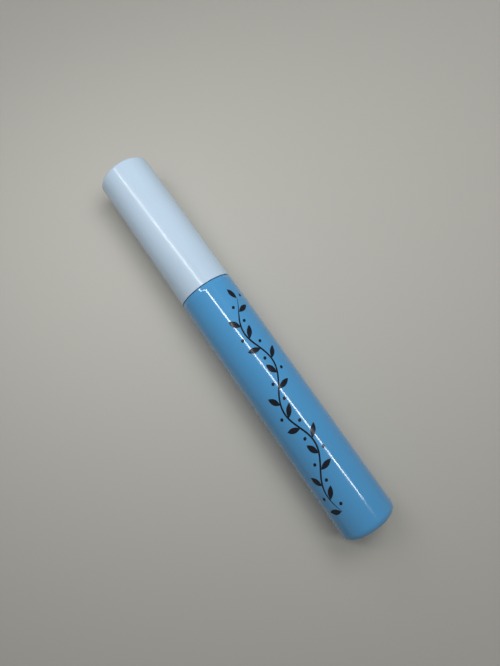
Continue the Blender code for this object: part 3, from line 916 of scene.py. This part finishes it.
wiper_corners = [
    (WIPER_BORE, wiper_top, WIPER_MOUTH_ROUNDING),
    (WIPER_FLANGE_RADIUS, wiper_top, WIPER_ROUNDING),
    (WIPER_FLANGE_RADIUS, flange_bottom, WIPER_ROUNDING),
    (WIPER_RADIUS, flange_bottom, WIPER_ROUNDING),
    (WIPER_RADIUS, cone_top, CONE_ROUNDING),
    (ORIFICE + WIPER_LIP_WALL, cone_bottom, LIP_ROUNDING),
    (ORIFICE + WIPER_LIP_WALL, wiper_bottom, LIP_EDGE),
    (ORIFICE, wiper_bottom, LIP_EDGE),
    (ORIFICE, cone_bottom, LIP_ROUNDING),
    (WIPER_BORE, cone_top, CONE_ROUNDING),
]
wiper = turned("soft_wiper", rounded(wiper_corners, ring=True), SLIM_SIDES, ring=True)
finish_piece(wiper, SOFT_WIPER, "bottle", "wiper")

# %% [markdown]
# ## The ribs in the cap
# The inner cap grips the outer one with splines, four gussets hold up its boss, and ribs in the outer cap
# stop it. They could be drawn one by one. But all of them are bars that stand round the axis, so one
# geometry tree places them, and a Boolean fuses them to their wall.

# %% Geometry tree: bars round the axis
BAR_WIDTH = 0.0008
BAR_BEVEL = 0.00005
BAR_ROOT = 0.0002


def bars_round_axis():
    """Upright bars, evenly spaced round the axis, from an inner to an outer radius."""
    sizes = ("Inner", "Outer", "Width", "Bottom", "Top")
    tree, given, outlet = shape_tree("bars_round_axis", sizes, counts=["Count"])
    size = vector(tree, given["Outer"] - given["Inner"], given["Width"], given["Top"] - given["Bottom"])
    block = made(tree, "GeometryNodeMeshCube", {"Size": size})
    out = (given["Outer"] + given["Inner"]) * 0.5
    up = (given["Top"] + given["Bottom"]) * 0.5
    bar = made(tree, "GeometryNodeTransform", {"Geometry": block, "Translation": vector(tree, out, 0.0, up)})
    points = made(tree, "GeometryNodePoints", {"Count": given["Count"]})
    turn = made(tree, "GeometryNodeInputIndex") / given["Count"] * FULL_TURN
    spread = {"Points": points, "Instance": bar, "Rotation": vector(tree, z=turn)}
    return close_tree(tree, given, outlet, made(tree, "GeometryNodeInstanceOnPoints", spread))


BARS = bars_round_axis()


def fuse_bars(piece, finish, sizes):
    """Adds a ring of bars with softened edges to a piece, as one solid."""
    bars = grow(new_object(piece.name + "_bars"), BARS, {"Width": BAR_WIDTH, **sizes}, finish)
    soften = bars.modifiers.new("soften", "BEVEL")
    soften.width = BAR_BEVEL
    soften.segments = 2
    keep_shape(bars)
    join = piece.modifiers.new("join", "BOOLEAN")
    join.operation = "UNION"
    join.object = bars
    keep_shape(piece)
    bpy.data.objects.remove(bars)


# %% [markdown]
# ## The outer cap
# This is the shell that the hand turns: a long, slightly drafted tube, closed at the top with a small round
# edge. Its mouth stands just above the bottle's shoulder and leaves a hairline gap. That gap could be a
# dark line painted on the bottle, but it would stay there when the cap is lifted, so it is left open
# between the two pieces.

# %% Turn the outer cap
CAP_MOUTH, CAP_TOP = stations("outer_cap")
CAP_RADIUS = radius_of("outer_cap")
CAP_DRAFT = 0.00018
CAP_BORE = 0.0069
CAP_ROOF = 0.0015
CAP_TOP_ROUNDING = 0.0007
CAP_MOUTH_ROUNDING = 0.0001
STOP_RIB_DEPTH = 0.0012
FIT = 0.00015
INNER_MOUTH, BOSS_TOP = stations("inner_cap")
BOSS_HEIGHT = 0.0090
INNER_TOP = BOSS_TOP - BOSS_HEIGHT

cap_corners = [
    (0.0, CAP_TOP, 0),
    (CAP_RADIUS - CAP_DRAFT, CAP_TOP, CAP_TOP_ROUNDING),
    (CAP_RADIUS, CAP_MOUTH, CAP_MOUTH_ROUNDING),
    (CAP_BORE, CAP_MOUTH, CAP_MOUTH_ROUNDING),
    (CAP_BORE, CAP_TOP - CAP_ROOF, CAP_TOP_ROUNDING),
    (0.0, CAP_TOP - CAP_ROOF, 0),
]
stop_ribs = {
    "Count": 6,
    "Inner": CAP_BORE - STOP_RIB_DEPTH,
    "Outer": CAP_BORE + BAR_ROOT,
    "Bottom": INNER_TOP + FIT,
    "Top": CAP_TOP - CAP_ROOF + BAR_ROOT,
}
cap = turned("ice_cap", rounded(cap_corners), BODY_SIDES)
fuse_bars(cap, ICE_GLOSS, stop_ribs)
finish_piece(cap, ICE_GLOSS, "cap", "outer_cap")

# %% [markdown]
# ## The inner cap
# A liner of natural plastic is pressed into the outer cap. It carries the thread, the seat of the gasket,
# and a boss with the socket that the rod snaps into. Only its mouth shows, so it could end just inside the
# cap. It is made whole, so that each piece has something real to sit in, and the same geometry tree raises
# its thread, inwards this time.

# %% Turn the inner cap
INNER_RADIUS = 0.0066
INNER_BORE = 0.0060
INNER_ROOF = 0.0012
SOCKET_RADIUS = 0.00185
SOCKET_ROOF = 0.0012
BOSS_RADIUS = 0.00305
BOSS_ROUNDING = 0.0003
INNER_ROUNDING = 0.00015
CAP_THREAD_START = 0.0024
SPLINE_HEIGHT = 0.00015
SPLINE_SETBACK = 0.0006
GUSSET_HEIGHT = 0.0050
ceiling = INNER_TOP - INNER_ROOF

inner_corners = [
    (0.0, BOSS_TOP, 0),
    (BOSS_RADIUS, BOSS_TOP, BOSS_ROUNDING),
    (BOSS_RADIUS, INNER_TOP, BOSS_ROUNDING),
    (INNER_RADIUS, INNER_TOP, BOSS_ROUNDING),
    (INNER_RADIUS, INNER_MOUTH, INNER_ROUNDING),
    (INNER_BORE, INNER_MOUTH, INNER_ROUNDING),
    (INNER_BORE, ceiling, INNER_ROUNDING),
    (SOCKET_RADIUS, ceiling, INNER_ROUNDING),
    (SOCKET_RADIUS, BOSS_TOP - SOCKET_ROOF, INNER_ROUNDING),
    (0.0, BOSS_TOP - SOCKET_ROOF, 0),
]
cap_thread = {
    **THREAD_SIZES,
    "Wall Radius": INNER_BORE,
    "Height": -0.0003,
    "Start": CAP_MOUTH + CAP_THREAD_START,
    "Crest": 0.0003,
    "Root": 0.0008,
}
splines = {
    "Count": 12,
    "Inner": INNER_RADIUS - BAR_ROOT,
    "Outer": INNER_RADIUS + SPLINE_HEIGHT,
    "Bottom": INNER_MOUTH + SPLINE_SETBACK,
    "Top": INNER_TOP - INNER_ROOF / 2,
}
gussets = {
    "Count": 4,
    "Inner": BOSS_RADIUS - BAR_ROOT,
    "Outer": CAP_BORE - STOP_RIB_DEPTH - FIT,
    "Bottom": INNER_TOP - BAR_ROOT,
    "Top": INNER_TOP + GUSSET_HEIGHT,
}
inner_cap = turned("inner_cap_liner", with_rows(rounded(inner_corners), INNER_BORE, THREAD_ROW), SLIM_SIDES)
grow(inner_cap, THREAD, cap_thread, NATURAL)
fuse_bars(inner_cap, NATURAL, splines)
fuse_bars(inner_cap, NATURAL, gussets)
finish_piece(inner_cap, NATURAL, "cap", "inner_cap")

# %% [markdown]
# ## Gasket and rod
# The gasket is a foam washer under the inner cap's ceiling, with the ring that the wiper's flange has
# pressed into it. The rod is a smooth stem with a barbed head, a collar that centres the gasket, and a bore
# for the brush wire. Both could be stacked up from cylinders, but those would overlap inside. One profile
# for each gives one closed surface.

# %% Turn the gasket
GASKET_INNER = 0.00255
GASKET_OUTER = 0.00555
GASKET_ROUNDING = 0.0002
PRESSED_DEPTH = 0.00012
gasket_bottom, gasket_top = stations("gasket")

gasket_corners = [
    (GASKET_INNER, gasket_top, GASKET_ROUNDING),
    (GASKET_OUTER, gasket_top, GASKET_ROUNDING),
    (GASKET_OUTER, gasket_bottom, GASKET_ROUNDING),
    (WIPER_FLANGE_RADIUS, gasket_bottom, PRESSED_DEPTH / 2),
    (WIPER_FLANGE_RADIUS - PRESSED_DEPTH, gasket_bottom + PRESSED_DEPTH, PRESSED_DEPTH / 2),
    (WIPER_BORE + PRESSED_DEPTH, gasket_bottom + PRESSED_DEPTH, PRESSED_DEPTH / 2),
    (WIPER_BORE, gasket_bottom, PRESSED_DEPTH / 2),
    (GASKET_INNER, gasket_bottom, GASKET_ROUNDING),
]
gasket = turned("foam_gasket", rounded(gasket_corners, ring=True), SLIM_SIDES, ring=True)
finish_piece(gasket, FOAM, "gasket", "gasket")

# %% Turn the rod
ROD_RADIUS = 0.0015
COLLAR_RADIUS = 0.0024
COLLAR_HEIGHT = 0.0008
BARB = 0.0002
BARB_HEIGHT = 0.0012
ROD_TIP_ROUNDING = 0.0004
WIRE_SOCKET = 0.00083
ROD_EDGE = 0.00012
rod_end, rod_head = stations("rod")
wire_tip, wire_top = stations("brush_wire")
collar_top = ceiling - FIT
collar_bottom = collar_top - COLLAR_HEIGHT
barb_middle = (collar_top + rod_head) / 2

rod_corners = [
    (0.0, rod_head, 0),
    (ROD_RADIUS, rod_head, ROD_TIP_ROUNDING),
    (ROD_RADIUS, barb_middle + BARB_HEIGHT, ROD_EDGE),
    (ROD_RADIUS + BARB, barb_middle, BARB / 4),
    (ROD_RADIUS, barb_middle - BARB, BARB / 4),
    (ROD_RADIUS, collar_top, ROD_EDGE),
    (COLLAR_RADIUS, collar_top, ROD_EDGE),
    (COLLAR_RADIUS, collar_bottom, ROD_EDGE),
    (ROD_RADIUS, collar_bottom, ROD_EDGE),
    (ROD_RADIUS, rod_end, ROD_TIP_ROUNDING),
    (WIRE_SOCKET, rod_end, ROD_EDGE),
    (WIRE_SOCKET, wire_top + FIT, ROD_EDGE),
    (0.0, wire_top + FIT, 0),
]
rod = turned("white_rod", rounded(rod_corners), SLIM_SIDES)
finish_piece(rod, ROD_WHITE, "rod", "rod")

# %% [markdown]
# ## The brush
# The brush is made as the real one is: a steel wire is bent into a hairpin, strands are laid between its
# legs, and the legs are twisted until they grip. Blender's hair could stand for the strands, but it isn't a
# mesh. So the wire is a path that one geometry tree thickens, and another tree repeats one thin tapered
# strand along the twist, each a little different from the next.

# %% Twist the wire
WIRE_RADIUS = 0.00026
LEG_OFFSET = 0.00042
TWIST_PITCH = 0.0030
POINTS_PER_TURN = 20
BEND_POINTS = 11
WIRE_SIDES = 12
bristle_start, bristle_end = stations("bristles")


def swept_round(tree, path, sides, radius, **options):
    """A round rod with closed ends along a path."""
    ring = made(tree, "GeometryNodeCurvePrimitiveCircle", {"Resolution": sides, "Radius": radius})
    swept = {"Curve": path, "Profile Curve": ring, "Fill Caps": True, **options}
    return made(tree, "GeometryNodeCurveToMesh", swept)


def wire_along_path():
    """A round wire along a chain of edges."""
    tree, given, outlet = shape_tree("wire_along_path", ["Radius"])
    path = made(tree, "GeometryNodeMeshToCurve", {"Mesh": given["Geometry"]})
    return close_tree(tree, given, outlet, swept_round(tree, path, WIRE_SIDES, given["Radius"]))


def leg_point(station, side):
    """A point on one leg of the twisted hairpin."""
    angle = FULL_TURN * (station - bristle_start) / TWIST_PITCH + side * math.pi / 2
    return (LEG_OFFSET * math.cos(angle), LEG_OFFSET * math.sin(angle), station)


def hairpin():
    """The points of the hairpin: down one leg, round the bend at the tip, and up the other."""
    bend = wire_tip + WIRE_RADIUS + LEG_OFFSET
    count = round((wire_top - bend) / TWIST_PITCH * POINTS_PER_TURN)
    rising = [bend + (wire_top - bend) * step / count for step in range(count + 1)]
    across = Vector(leg_point(bend, 1)) - Vector((0.0, 0.0, bend))
    tip = []
    for step in range(1, BEND_POINTS + 1):
        swing = math.pi * step / (BEND_POINTS + 1)
        dip = Vector((0.0, 0.0, bend - LEG_OFFSET * math.sin(swing)))
        tip.append(tuple(across * math.cos(swing) + dip))
    down = [leg_point(station, 1) for station in reversed(rising)]
    return down + tip + [leg_point(station, -1) for station in rising]


path_points = hairpin()
path = bpy.data.meshes.new("hairpin")
path.from_pydata(path_points, [(i, i + 1) for i in range(len(path_points) - 1)], [])
wire = grow(new_object("twisted_wire", path), wire_along_path(), {"Radius": WIRE_RADIUS}, STEEL)
finish_piece(wire, STEEL, "cap", "brush_wire")

# %% Geometry tree: twisted brush
STRAND_POINTS = 4
STRAND_SIDES = 5
STRAND_TIP = 0.55
SHORTEST = 0.90


def twisted_brush():
    """Strands in pairs along a twist, with a slim tip, a full middle and a rounded heel."""
    sizes = ("Start", "Length", "Pitch", "Tip Reach", "Full Reach", "Heel Reach", "Fullest At",
             "Strand", "Spread", "Lean", "Bow")
    tree, given, outlet = shape_tree("twisted_brush", sizes, counts=["Rows", "Seed"])
    index = made(tree, "GeometryNodeInputIndex")
    fullest, full = given["Fullest At"], given["Full Reach"]

    def chance(low, high, draw):
        """A steady random value for each strand."""
        limits = {"Min": low, "Max": high, "ID": index, "Seed": given["Seed"] + float(draw)}
        return made(tree, "FunctionNodeRandomValue", limits)

    share = (index / 2.0).maths("FLOOR") / (given["Rows"] - 1.0)
    up = share * given["Length"]
    facing = index.maths("MODULO", 2.0) * math.pi + up / given["Pitch"] * FULL_TURN
    angle = facing + chance(-1.0, 1.0, 1) * given["Spread"]
    lean = chance(-1.0, 1.0, 2) * given["Lean"]

    grown = (share / fullest * (math.pi / 2)).maths("SINE")
    tip_side = grown * (full - given["Tip Reach"]) + given["Tip Reach"]
    past = (share - fullest) / (1.0 - fullest)
    heel_side = past * past * (given["Heel Reach"] - full) + full
    choice = {"Switch": share.maths("GREATER_THAN", fullest), "False": tip_side, "True": heel_side}
    envelope = made(tree, "GeometryNodeSwitch", choice, input_type="FLOAT")
    reach = envelope * chance(SHORTEST, 1.0, 3)

    line = made(tree, "GeometryNodeCurvePrimitiveLine", {"End": (1.0, 0.0, 0.0)})
    fine = made(tree, "GeometryNodeResampleCurve", {"Curve": line, "Count": STRAND_POINTS})
    along = results(tree, "GeometryNodeSplineParameter")["Factor"]
    bow = vector(tree, z=along * along * given["Bow"])
    bowed = made(tree, "GeometryNodeSetPosition", {"Geometry": fine, "Offset": bow})
    taper = ramp(along, 0.0, 1.0, 1.0, STRAND_TIP)
    strand = swept_round(tree, bowed, STRAND_SIDES, given["Strand"], Scale=taper)

    rows = {"Count": given["Rows"] * 2.0, "Position": vector(tree, z=up + given["Start"])}
    strands = made(tree, "GeometryNodeInstanceOnPoints", {
        "Points": made(tree, "GeometryNodePoints", rows),
        "Instance": strand,
        "Rotation": vector(tree, 0.0, lean, angle),
        "Scale": vector(tree, reach, 1.0, 1.0),
    })
    return close_tree(tree, given, outlet, strands)


BRUSH = twisted_brush()

# %% Lay the strands
BRUSH_SIZES = {
    "Start": bristle_start,
    "Length": bristle_end - bristle_start,
    "Pitch": TWIST_PITCH,
    "Tip Reach": 0.0023,
    "Full Reach": radius_of("bristles"),
    "Heel Reach": 0.0030,
    "Fullest At": 0.62,
    "Strand": 0.000045,
    "Spread": math.radians(24),
    "Lean": math.radians(5),
    "Bow": 0.00012,
    "Rows": 700,
    "Seed": 7,
}
brush = grow(new_object("nylon_bristles"), BRUSH, BRUSH_SIZES, NYLON)
finish_piece(brush, NYLON, "cap", "bristles")
